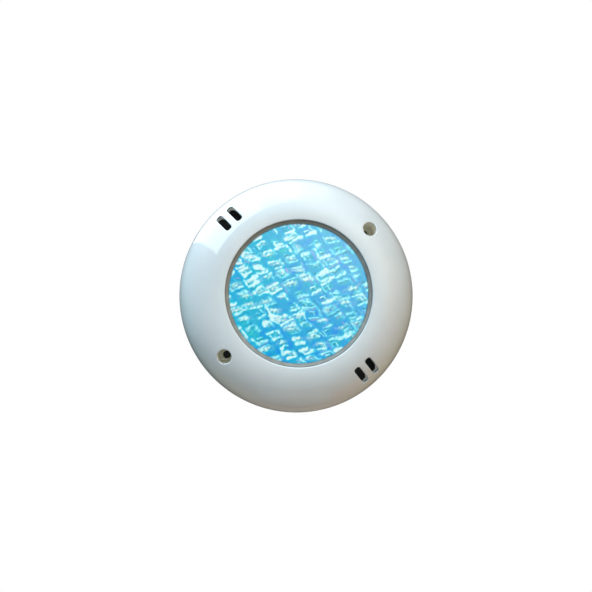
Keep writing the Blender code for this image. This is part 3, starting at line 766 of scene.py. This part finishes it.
# the layers as colour: bright strokes and white blobs are painted images of the LEDs bent by the
# facets, glow is a painted halo of light round them, and dark is painted shade beside them
bright = np.clip(layers["bright"] * np.clip(0.55 + 0.55 * crumple, 0, 1.15), 0, 1)
white = np.clip(layers["white"] * crumple, 0, 1)
teal = np.clip(layers["teal"] * 0.9 * crumple
               + 0.45 * np.clip(0.35 + waves(5, 22, 60, 0.5) - 0.014 * X + 0.012 * Z, 0, 1), 0, 1)
dark = np.clip(layers["dark"], 0, 1)
glow = np.clip(blurred(bright, 1.0) * 1.5, 0, 1)
col = np.ones(X.shape + (3,)) * srgb(*PAT_BASE)
for f, c in ((np.clip(waves(6, 6, 14, 0.9), 0, 1) * 0.70, srgb(10, 146, 236)),
             (np.clip(layers["violet"] * crumple, 0, 1) * 0.50, srgb(62, 156, 240)),
             (teal * 0.90, srgb(52, 206, 208)),
             (glow * 0.42, srgb(84, 210, 238)),
             (dark * 0.95 * np.clip(crumple, 0, 1), srgb(4, 112, 148)),
             (np.clip(layers["fringe"], 0, 1) * 0.80 * np.clip(crumple, 0, 1), srgb(170, 160, 228)),
             (np.clip(bright * 1.4, 0, 1) * 0.90, srgb(112, 236, 250)),
             (np.clip((bright - 0.46) * 1.7, 0, 1) * 0.92, srgb(226, 255, 255)),
             (white * 0.90, srgb(220, 255, 250)),
          (dark * 0.52, srgb(46, 158, 182)),
          (np.clip(layers["fringe"], 0, 1) * 0.42, srgb(196, 186, 236))):
    f = np.clip(f, 0, 1)[..., None]
    col = col * (1 - f) + c * f
relief = np.clip(0.30 * bright + 0.15 * white - 0.18 * dark + 0.10 * (crumple - 0.8), -0.3, 0.45)

for k in range(3):          # the soft edges the facets give
    c = blurred(col[..., k], 0.10)
    col[..., k] = np.clip(c + 0.50 * (c - blurred(c, 0.9)), 0.004, 1.0)

# a square grid cropped to the disc, its rim pulled onto a circle, with a wall and a back
inside = np.hypot(X, Z) <= PR - 0.20
pat = Builder()
ids = -np.ones(X.shape, int)
colors = []
for i in range(n_g):
    for j in range(n_g):
        if inside[i, j]:
            edge = min(max((PR - 0.6 - math.hypot(X[i, j], Z[i, j])) / 1.0, 0), 1)
            ids[i, j] = pat.add(X[i, j], PAT_H + relief[i, j] * edge, Z[i, j])
            colors.append(col[i, j])
for i in range(n_g - 1):
    for j in range(n_g - 1):
        q = (ids[i, j], ids[i + 1, j], ids[i + 1, j + 1], ids[i, j + 1])
        if min(q) >= 0:
            pat.f.append(q)
me = bpy.data.meshes.new("lens_prisms")
me.from_pydata(pat.v, [], pat.f)
me.update()
att = me.color_attributes.new("tint", "FLOAT_COLOR", "POINT")
att.data.foreach_set("color", np.c_[np.array(colors), np.ones(len(colors))].ravel())
bm = bmesh.new()
bm.from_mesh(me)
loose = [v for v in bm.verts if not v.link_faces]
bmesh.ops.delete(bm, geom=loose, context="VERTS")
rim = [e for e in bm.edges if e.is_boundary]
for v in {v for e in rim for v in e.verts}:
    r = math.hypot(v.co.x, v.co.z)
    v.co.x *= PR * MM / r
    v.co.z *= PR * MM / r
res = bmesh.ops.extrude_edge_only(bm, edges=rim)
new = {g for g in res["geom"] if isinstance(g, bmesh.types.BMVert)}
for v in new:
    v.co.y = -25.45 * MM
back = [g for g in res["geom"] if isinstance(g, bmesh.types.BMEdge)
        and all(v in new for v in g.verts)]
bmesh.ops.holes_fill(bm, edges=back, sides=0)
bmesh.ops.recalc_face_normals(bm, faces=bm.faces[:])
bm.to_mesh(me)
bm.free()
prism_mat = Mat("prism_layer", (0.05, 0.45, 0.7), 0.22)
prism_mat.set(Specular_IOR_Level=0.25)
at = prism_mat.new("ShaderNodeAttribute")
at.attribute_name = "tint"
hue = prism_mat.new("ShaderNodeHueSaturation")
hue.inputs["Value"].default_value = 0.06
prism_mat.link(at.outputs["Color"], hue.inputs["Color"])
prism_mat.link(hue.outputs["Color"], prism_mat.p.inputs["Base Color"])
# the layer glows in its painted colours, standing in for the LED light that passes through it
prism_mat.link(at.outputs["Color"], prism_mat.p.inputs["Emission Color"])
prism_mat.p.inputs["Emission Strength"].default_value = PAT_GLOW
prism_mat.bump(420.0, 0.25, 0.00015, 2.0)
prism_ob = bpy.data.objects.new("lens_prisms", me)
scene.collection.objects.link(prism_ob)
me.shade_smooth()
me.set_sharp_from_angle(angle=math.radians(50))
use(prism_ob, prism_mat)
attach(prism_ob, "lamp")
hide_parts("lens")

# the thin sheet between the lens and the LEDs, lit through
sheet_mat = Mat("prism_acrylic", (0.10, 0.42, 0.62), 0.3)
sheet_mat.vary_color(160.0, 0.25).vary_rough(300.0, 0.2, 0.4).bump(420.0, 0.3, 0.00015)
sheet_mat.set(Emission_Color=(0.05, 0.42, 0.75, 1.0), Emission_Strength=0.4)
use(nodes["prism_sheet"], sheet_mat)

# ------------------------------------------------------------------ wall bracket, housing, clamp, gland
def flat(loops, extra=(), keep=lambda x, z: True):
    """Triangles between outlines; loops hold (x, z) outlines, keep says what is solid."""
    pts, edges, idx = [], [], []
    for ps in loops:
        s = len(pts)
        pts.extend(Vector(p) for p in ps)
        edges.extend((s + k, s + (k + 1) % len(ps)) for k in range(len(ps)))
        idx.append(list(range(s, s + len(ps))))
    pts.extend(Vector(p) for p in extra)
    vs, _, fs, orig = delaunay_2d_cdt(pts, edges, [], 0, 1e-7, True)[:4]
    where = {o: new_i for new_i, olds in enumerate(orig) for o in olds}
    tris = [tuple(f) for f in fs
            if keep(sum(vs[i].x for i in f) / 3, sum(vs[i].y for i in f) / 3)]
    return [(v.x, v.y) for v in vs], tris, [[where[i] for i in loop] for loop in idx]


def sector(a0, a1, r0, r1, c, n=18, m=5):
    """A ring sector with rounded corners, as an outline in (x, z)."""
    out = []
    for r, s0, s1, sign in ((r0, a0, a1, 1), (r1, a1, a0, -1)):
        e = c / r
        lo, hi = s0 + sign * e, s1 - sign * e
        out += [(r, lo + (hi - lo) * i / n) for i in range(n + 1)]
        rc = r + c if r == r0 else r - c
        for i in range(1, m):
            t = (math.pi / 2) * i / m
            rr = rc + (r - rc) * math.cos(t)
            out.append((rr, hi + sign * e * math.sin(t)))
        out.append((rc, s1))
        if r == r0:
            out.append((r1 - c, s1))
            for i in range(1, m):
                t = (math.pi / 2) * (1 - i / m)
                out.append((r1 - c + c * math.cos(t), s1 - (c / r1) * (1 - math.sin(t))))
        else:
            out.append((r0 + c, s1))
            for i in range(1, m):
                t = (math.pi / 2) * (1 - i / m)
                out.append((r0 + c - c * math.cos(t), s1 + (c / r0) * (1 - math.sin(t))))
    return [(r * math.cos(a), r * math.sin(a)) for r, a in out]


PLATE_R, PLATE_T, PLATE_HOLE_R = 71.8, 2.2, 12.5
FIX_W, FIX_L, FIX_PCR = 4.6, 10.0, 52.0
fix = []
for k in range(4):
    a = math.radians(RIB_ANG + 90.0 * k)
    fix.append((FIX_PCR * math.cos(a), FIX_PCR * math.sin(a), a + math.pi / 2))


def fix_dist(x, z):
    best = 99.0
    for cx, cz, a in fix:
        dx, dz = x - cx, z - cz
        u = max(abs(dx * math.cos(a) + dz * math.sin(a)) - (FIX_L - FIX_W) / 2, 0)
        best = min(best, math.hypot(u, -dx * math.sin(a) + dz * math.cos(a)) - FIX_W / 2)
    return best


def solid(x, z):
    return (math.hypot(x, z) < PLATE_R and math.hypot(x, z - GLAND_Z) > PLATE_HOLE_R
            and fix_dist(x, z) > 0)


def fixes(g):
    return [slot_pts(cx, cz, FIX_L, FIX_W, FIX_W / 2 - 0.01, a, 8, 3, g) for cx, cz, a in fix]


POCKET = 0.7
pockets = []
for k in range(4):
    a0 = math.radians(RIB_ANG + 90.0 * k)
    pockets.append([sector(a0 + math.radians(13) + g / 55, a0 + math.radians(77) - g / 55,
                           45.5 + g, 67.0 - g, 2.2) for g in (0.0, 0.45)])
pockets.append([circle_pts(0.0, 14.5, 19.0 - g, 64) for g in (0.0, 0.45)])
edge_n = 160
plate = Builder()
hole_loops = [circle_pts(0, GLAND_Z, PLATE_HOLE_R, 48), *fixes(0.0)]
soft_loops = [circle_pts(0, GLAND_Z, PLATE_HOLE_R + 0.4, 48), *fixes(0.4)]
back_pts, back_tris, back_idx = flat(
    [circle_pts(0, 0, PLATE_R - 0.4, edge_n), *soft_loops] + [p[0] for p in pockets]
    + [p[1] for p in pockets], keep=lambda x, z: math.hypot(x, z) < PLATE_R - 0.4
    and math.hypot(x, z - GLAND_Z) > PLATE_HOLE_R + 0.39 and fix_dist(x, z) > 0.39)
deep = set()
for loop in back_idx[-len(pockets):]:
    deep.update(loop)
rear = [plate.add(x, POCKET if i in deep else 0.0, z) for i, (x, z) in enumerate(back_pts)]
plate.f += [tuple(rear[i] for i in f) for f in back_tris]
front_pts, front_tris, front_idx = flat(
    [circle_pts(0, 0, PLATE_R - 0.4, edge_n), *soft_loops],
    keep=lambda x, z: math.hypot(x, z) < PLATE_R - 0.4
    and math.hypot(x, z - GLAND_Z) > PLATE_HOLE_R + 0.39 and fix_dist(x, z) > 0.39)
face = [plate.add(x, PLATE_T, z) for x, z in front_pts]
plate.f += [tuple(face[i] for i in f) for f in front_tris]
rim_a = plate.ring(PLATE_R, 0.4, edge_n)
rim_b = plate.ring(PLATE_R, PLATE_T - 0.4, edge_n)
plate.bridge([rear[i] for i in back_idx[0]], rim_a)
plate.bridge(rim_a, rim_b)
plate.bridge(rim_b, [face[i] for i in front_idx[0]])
for n_h, hl in enumerate(hole_loops):
    la_, lb_ = plate.loop(hl, 0.4), plate.loop(hl, PLATE_T - 0.4)
    plate.bridge([rear[i] for i in back_idx[1 + n_h]], la_)
    plate.bridge(la_, lb_)
    plate.bridge(lb_, [face[i] for i in front_idx[1 + n_h]])
plate.make("bracket_plate", brkt_mat, "bracket", slot="bracket_abs", smooth=30.0,
           replaces=("wall_bracket",))
b = Builder()
b.lathe(round_profile([(38.8, 2.0), (38.8, 7.7), (41.6, 7.7), (41.6, 2.0)], 0.5, 3), 144)
for k in range(24):      # small gussets inside the spigot
    a = 2 * math.pi * k / 24
    u, w = (math.cos(a), math.sin(a)), (-math.sin(a), math.cos(a))
    if math.hypot(36.5 * u[0], 36.5 * u[1] - GLAND_Z) < PLATE_HOLE_R + 4:
        continue
    tri_ = [(36.2, 2.0), (38.95, 2.0), (38.95, 6.2)]
    s0 = [b.add(u[0] * r + w[0] * -0.5, h, u[1] * r + w[1] * -0.5) for r, h in tri_]
    s1 = [b.add(u[0] * r + w[0] * 0.5, h, u[1] * r + w[1] * 0.5) for r, h in tri_]
    b.f += [tuple(s0), tuple(reversed(s1))]
    b.f += [(s0[i], s1[i], s1[(i + 1) % 3], s0[(i + 1) % 3]) for i in range(3)]
b.make("bracket_spigot", brkt_mat, "bracket", slot="bracket_abs", smooth=35.0)
b = Builder()
for ang in BOSS_ANGS:
    a = math.radians(ang)
    b.lathe(round_profile([(1.7, 2.0), (1.7, 5.0), (4.6, 5.0), (4.6, 2.0)], 0.35, 3), 40,
            BOSS_PCR * math.cos(a), BOSS_PCR * math.sin(a))
b.make("bracket_posts", brkt_mat, "bracket", slot="bracket_abs", smooth=35.0)

# housing: floor sheets with the gland inlet, and a turned wall between them
hs = Builder()
HN = 144
inlet = circle_pts(0, GLAND_Z, 6.4, 40)
prof = [(40.0, 10.7), (40.0, 19.4), (40.2, 19.6), (42.0, 19.6), (42.0, 22.1), (42.2, 22.3),
        (43.6, 22.3), (43.6, 21.1), (45.0, 21.1), (45.0, 22.3), (45.9, 22.3), (45.9, 22.9),
        (46.1, 23.1), (50.8, 23.1), (51.08, 23.0), (51.2, 22.7), (51.2, 18.6), (51.1, 18.3),
        (50.8, 18.02), (47.6, 16.8), (47.3, 16.6), (47.2, 16.2), (47.2, 14.6), (46.8, 14.3),
        (46.8, 13.4), (47.2, 13.1), (47.2, 11.6), (46.8, 11.3), (46.8, 10.5), (47.2, 10.2),
        (47.2, 8.8), (46.95, 8.25), (46.4, 8.0), (44.6, 8.0), (44.3, 7.9), (44.2, 7.6),
        (44.2, 4.3), (43.9, 4.0), (42.3, 4.0), (42.0, 4.3), (42.0, 7.7)]
floor_pts, floor_tris, floor_idx = flat([circle_pts(0, 0, 39.5, HN), inlet],
                                        keep=lambda x, z: math.hypot(x, z) < 39.5
                                        and math.hypot(x, z - GLAND_Z) > 6.39)
top_i = [hs.add(x, 10.2, z) for x, z in floor_pts]
hs.f += [tuple(top_i[i] for i in f) for f in floor_tris]
rear_pts, rear_tris, rear_idx = flat([circle_pts(0, 0, 41.7, HN), inlet],
                                     keep=lambda x, z: math.hypot(x, z) < 41.7
                                     and math.hypot(x, z - GLAND_Z) > 6.39)
bot_i = [hs.add(x, 8.0, z) for x, z in rear_pts]
hs.f += [tuple(bot_i[i] for i in f) for f in rear_tris]
chain = [[top_i[i] for i in floor_idx[0]]] + [hs.ring(r, h, HN) for r, h in prof] \
    + [[bot_i[i] for i in rear_idx[0]]]
for p, q in zip(chain, chain[1:]):
    hs.bridge(p, q)
hs.bridge([top_i[i] for i in floor_idx[1]], [bot_i[i] for i in rear_idx[1]])
hs.make("housing_shell", body_mat, "lamp", slot="housing_abs", smooth=32.0,
        replaces=("housing",))

# clamp ring with six counterbored holes, and its screws
cl = Builder()
CN = 180
screws = []
for k in range(6):
    a = math.radians(11.3 + 60.0 * k)
    screws.append((48.5 * math.cos(a), 48.5 * math.sin(a)))


def off_screws(x, z, r):
    return all(math.hypot(x - sx, z - sz) > r - 0.01 for sx, sz in screws)


heads = [circle_pts(sx, sz, 2.1, 20) for sx, sz in screws]
heads_soft = [circle_pts(sx, sz, 2.3, 20) for sx, sz in screws]
shanks = [circle_pts(sx, sz, 1.3, 20) for sx, sz in screws]
tp, tt, ti = flat([circle_pts(0, 0, 44.7, CN), circle_pts(0, 0, 50.8, CN), *heads_soft],
                  keep=lambda x, z: 44.69 < math.hypot(x, z) < 50.8 and off_screws(x, z, 2.3))
bp, bt, bi = flat([circle_pts(0, 0, 46.1, CN), circle_pts(0, 0, 51.0, CN), *shanks],
                  keep=lambda x, z: 46.09 < math.hypot(x, z) < 51.0 and off_screws(x, z, 1.3))
up = [cl.add(x, 27.2, z) for x, z in tp]
dn = [cl.add(x, 23.4, z) for x, z in bt and bp]
cl.f += [tuple(up[i] for i in f) for f in tt]
cl.f += [tuple(dn[i] for i in f) for f in bt]
outer = [[up[i] for i in ti[1]], cl.ring(51.1, 27.08, CN), cl.ring(51.2, 26.8, CN),
         cl.ring(51.2, 23.6, CN), [dn[i] for i in bi[1]]]
inner = [[up[i] for i in ti[0]], cl.ring(44.4, 27.08, CN), cl.ring(44.3, 26.8, CN),
         cl.ring(44.3, 26.3, CN), cl.ring(45.9, 26.3, CN), cl.ring(45.9, 23.6, CN),
         [dn[i] for i in bi[0]]]
for chain in (outer, inner):
    for p, q in zip(chain, chain[1:]):
        cl.bridge(p, q)
for k in range(6):
    chain = [[up[i] for i in ti[2 + k]], cl.loop(heads[k], 27.0), cl.loop(heads[k], 25.4),
             cl.loop(shanks[k], 25.4), [dn[i] for i in bi[2 + k]]]
    for p, q in zip(chain, chain[1:]):
        cl.bridge(p, q)
cl.make("clamp_body", clamp_mat, "lamp", slot="clamp_nylon", smooth=32.0,
        replaces=("clamp_ring",))
sc = Builder()
for sx, sz in screws:
    socket = hexr(1.5)
    sc.lathe([(0, 26.1), (socket, 26.1), (lambda a: hexr(1.5)(a) * 1.04, 26.98), (1.05, 26.98),
              (1.35, 26.86), (1.6, 26.6), (1.76, 26.25), (1.8, 26.0), (1.8, 25.75), (1.7, 25.7),
              (1.0, 25.7), (1.0, 20.0), (0.5, 19.4), (0, 19.4)], 24, sx, sz)
sc.make("clamp_screw_set", steel_mat, "lamp", slot="stainless_screw", smooth=30.0,
        replaces=tuple("clamp_screw_%d" % (k + 1) for k in range(6)))

# cable gland
def hexsoft(af, grow=0.0):
    def f(a):
        t = ((a + math.pi / 6) % (math.pi / 3)) - math.pi / 6
        return min(af / 2.0 / math.cos(t), af / 2.0 * 1.125) + grow
    return f


gb = Builder()
gb.lathe([(3.6, 5.5), (3.6, 13.8), (3.8, 14.0), (5.8, 14.0), (6.1, 13.7)]
         + [(6.1 - 0.28 * (i % 2), 13.3 - 0.42 * i) for i in range(14)]
         + [(6.1, 7.4), (6.6, 7.4), (6.6, 6.6), (8.4, 6.6), (8.4, 7.4),
            (hexsoft(19.0, -0.3), 7.4), (hexsoft(19.0), 7.15), (hexsoft(19.0), 5.65),
            (hexsoft(19.0, -0.3), 5.4), (5.6, 5.4), (5.6, 2.3), (5.3, 2.0), (4.9, 2.0),
            (4.9, 5.3), (3.8, 5.3)], 96, 0.0, GLAND_Z)
gb.make("gland_barrel", gland_mat, "lamp", slot="gland_nylon", smooth=28.0,
        replaces=("gland_body",))
gl = Builder()
gl.lathe([(6.4, 10.7), (6.4, 12.5), (6.6, 12.7), (hexsoft(17.0, -0.3), 12.7),
          (hexsoft(17.0), 12.45), (hexsoft(17.0), 10.75), (hexsoft(17.0, -0.3), 10.5),
          (6.6, 10.5)], 96, 0.0, GLAND_Z)
gl.make("gland_counter_nut", gland_mat, "lamp", slot="gland_nylon", smooth=28.0,
        replaces=("gland_lock_nut",))
gn = Builder()
gn.lathe([(3.6, 1.0), (3.6, 1.45), (3.75, 1.6), (5.9, 1.6), (5.9, 4.9), (6.1, 5.1),
          (hexsoft(15.2, -0.25), 5.1), (hexsoft(15.2), 4.85), (hexsoft(15.2), 2.75),
          (hexsoft(15.2, -0.12), 2.4), (7.15, 1.6), (6.85, 1.1), (6.5, 0.86), (6.2, 0.8),
          (3.8, 0.8)], 96, 0.0, GLAND_Z)
gn.make("gland_dome", gland_mat, "dome_nut", slot="gland_nylon", smooth=28.0,
        replaces=("gland_nut",))

# ------------------------------------------------------------------ stage, light, camera
bm = bmesh.new()
bmesh.ops.create_grid(bm, x_segments=2, y_segments=2, size=0.42)
fme = bpy.data.meshes.new("floor")
bm.to_mesh(fme)
bm.free()
floor = bpy.data.objects.new("floor", fme)
scene.collection.objects.link(floor)
floor.location = (0.0, -0.15, -1.10)
floor_mat = Mat("floor_pale", (0.80, 0.77, 0.72), 0.7)
floor_mat.vary_rough(3.0, 0.6, 0.8)
use(floor, floor_mat)

# soft light from broad lobes round the room: direction (x, y, z) and colour
LOBE_K = 11.0
LOBES = (((0.28, -0.89, 0.36), (1.77, 1.84, 1.80)), ((-0.16, -0.80, 0.58), (0.0, 0.34, 0.52)),
         ((0.64, -0.73, 0.23), (0.58, 0.44, 0.05)), ((0.23, -0.64, 0.73), (0.95, 1.10, 1.30)),
         ((0.80, -0.58, -0.18), (0.45, 0.16, 0.06)), ((-0.48, -0.55, 0.68), (0.0, 0.12, 0.45)),
         ((-0.04, -0.39, 0.92), (0.70, 0.76, 0.90)), ((0.94, -0.33, 0.13), (0.09, 0.09, 0.02)),
         ((0.54, -0.02, -0.84), (0.46, 0.17, 0.14)), ((-0.97, 0.20, -0.09), (0.0, 0.20, 0.25)),
         ((0.77, 0.23, -0.59), (0.16, 0.22, 0.05)), ((-0.51, 0.30, -0.81), (0.66, 0.58, 0.38)),
         ((0.10, 0.62, -0.78), (0.50, 0.46, 0.42)), ((0.20, 0.95, 0.25), (0.20, 0.20, 0.21)))
world = bpy.data.worlds.new("studio")
scene.world = world
world.use_nodes = True
wn = world.node_tree
for n in list(wn.nodes):
    wn.nodes.remove(n)
out = wn.nodes.new("ShaderNodeOutputWorld")
mix = wn.nodes.new("ShaderNodeMixShader")
seen = wn.nodes.new("ShaderNodeBackground")
lit = wn.nodes.new("ShaderNodeBackground")
path = wn.nodes.new("ShaderNodeLightPath")
seen.inputs["Color"].default_value = (1, 1, 1, 1)
geo = wn.nodes.new("ShaderNodeTexCoord")
total = None
for d, c in LOBES:
    dot = wn.nodes.new("ShaderNodeVectorMath")
    dot.operation = "DOT_PRODUCT"
    wn.links.new(geo.outputs["Generated"], dot.inputs[0])
    dot.inputs[1].default_value = Vector(d).normalized()
    lin = wn.nodes.new("ShaderNodeMath")
    lin.operation = "MULTIPLY_ADD"
    wn.links.new(dot.outputs["Value"], lin.inputs[0])
    lin.inputs[1].default_value = LOBE_K
    lin.inputs[2].default_value = -LOBE_K
    ex = wn.nodes.new("ShaderNodeMath")
    ex.operation = "EXPONENT"
    wn.links.new(lin.outputs["Value"], ex.inputs[0])
    sc = wn.nodes.new("ShaderNodeVectorMath")
    sc.operation = "SCALE"
    sc.inputs[0].default_value = c
    wn.links.new(ex.outputs["Value"], sc.inputs["Scale"])
    if total is None:
        total = sc.outputs["Vector"]
    else:
        ad = wn.nodes.new("ShaderNodeVectorMath")
        ad.operation = "ADD"
        wn.links.new(total, ad.inputs[0])
        wn.links.new(sc.outputs["Vector"], ad.inputs[1])
        total = ad.outputs["Vector"]
wn.links.new(total, lit.inputs["Color"])
wn.links.new(path.outputs["Is Camera Ray"], mix.inputs["Fac"])
wn.links.new(lit.outputs["Background"], mix.inputs[1])
wn.links.new(seen.outputs["Background"], mix.inputs[2])
wn.links.new(mix.outputs["Shader"], out.inputs["Surface"])


def pane(name, corner, u, width, length, radiance):
    """A soft window pane running back along +Y from a corner, shining at the object."""
    L = bpy.data.lights.new(name, "AREA")
    L.shape = "RECTANGLE"
    L.size, L.size_y = width, length
    peak = max(radiance)
    L.energy = peak * math.pi * width * length
    L.color = [c / peak for c in radiance]
    o = bpy.data.objects.new(name, L)
    scene.collection.objects.link(o)
    u, v = Vector(u).normalized(), Vector((0, 1, 0))
    centre = Vector(corner) + u * width / 2 + v * length / 2
    n = u.cross(v)
    if n.dot(centre) < 0:
        n = -n
    m = Matrix((u, n.cross(u), n)).transposed().to_4x4()
    m.translation = centre
    o.matrix_world = m
    return o


PANE_U = Vector((0.643, 0.0, 0.766))
PANE_P = Vector((-0.570, -0.821, 0.341))
pane("window_low", PANE_P, PANE_U, 0.5, 1.5, (2.60, 3.10, 3.20))
pane("window_high", PANE_P + PANE_U * 0.5, PANE_U, 0.5, 1.5, (1.50, 1.50, 1.50))
pane("window_end", PANE_P + PANE_U * 1.0, PANE_U, 0.7, 1.5, (0.55, 0.58, 0.60))

cam_data = bpy.data.cameras.new("camera")
cam = bpy.data.objects.new("camera", cam_data)
scene.collection.objects.link(cam)
scene.camera = cam
F_PX = 510.33
cam_data.sensor_width = 36.0
cam_data.lens = 36.0 * F_PX / 592.0
cam_data.clip_start, cam_data.clip_end = 0.01, 50.0
pan, tilt, roll = math.radians(3.047), math.radians(-2.49), math.radians(0.011)
ry = Matrix(((math.cos(pan), 0, math.sin(pan)), (0, 1, 0), (-math.sin(pan), 0, math.cos(pan))))
rx = Matrix(((1, 0, 0), (0, math.cos(tilt), -math.sin(tilt)), (0, math.sin(tilt), math.cos(tilt))))
rz = Matrix(((math.cos(roll), -math.sin(roll), 0), (math.sin(roll), math.cos(roll), 0), (0, 0, 1)))
rot = rz @ rx @ ry
cols = []
for i in range(3):
    x, y, h = rot[i]
    cols.append(Vector((x, -h, y)))
mw = Matrix((cols[0], cols[1], cols[2])).transposed().to_4x4()
mw.translation = Vector((-18.197, -333.42, -14.933)) * MM
cam.matrix_world = mw

scene.view_settings.view_transform = "Standard"
scene.view_settings.look = "None"
scene.view_settings.exposure = 0.0
scene.view_settings.gamma = 1.0
